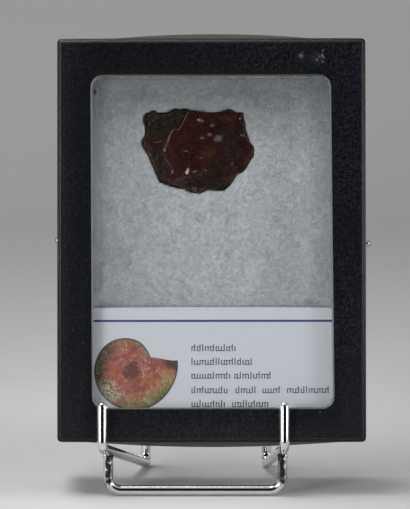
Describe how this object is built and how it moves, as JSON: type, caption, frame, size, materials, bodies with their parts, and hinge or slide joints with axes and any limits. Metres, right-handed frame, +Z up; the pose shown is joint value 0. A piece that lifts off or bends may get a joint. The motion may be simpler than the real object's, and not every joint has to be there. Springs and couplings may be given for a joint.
{
  "type": "mounted ammolite specimen",
  "caption": "Iridescent shell fossil fragment on batting behind glass in a black card display mount, leaning on a small chromed wire easel.",
  "frame": {"origin": "middle of the whole footprint, on the surface that the easel stands on", "axes": "+Z up; the glass of the mount faces -Y and leans back by 13.5 degrees; +X to the viewer's right"},
  "size_m": [0.0854, 0.0472, 0.1189],
  "materials": {
    "black_card": "black embossed paper, slight sheen",
    "glass": "clear and polished",
    "tray_card": "black paper, matte",
    "cotton": "soft loose fibre",
    "ammolite": "natural nacre, glossy with dull matrix",
    "label_paper": "smooth printed card",
    "pin_steel": "polished",
    "chrome": "mirror plated"
  },
  "bodies": {
    "root": {"lid": "black_card", "glass_pane": "glass", "tray": "tray_card", "batting": "cotton", "ammolite_fragment": "ammolite", "label_card": "label_paper", "pin_left": "pin_steel", "pin_right": "pin_steel", "easel_wire": "chrome", "easel_front_leg": "chrome"}
  },
  "joints": []
}
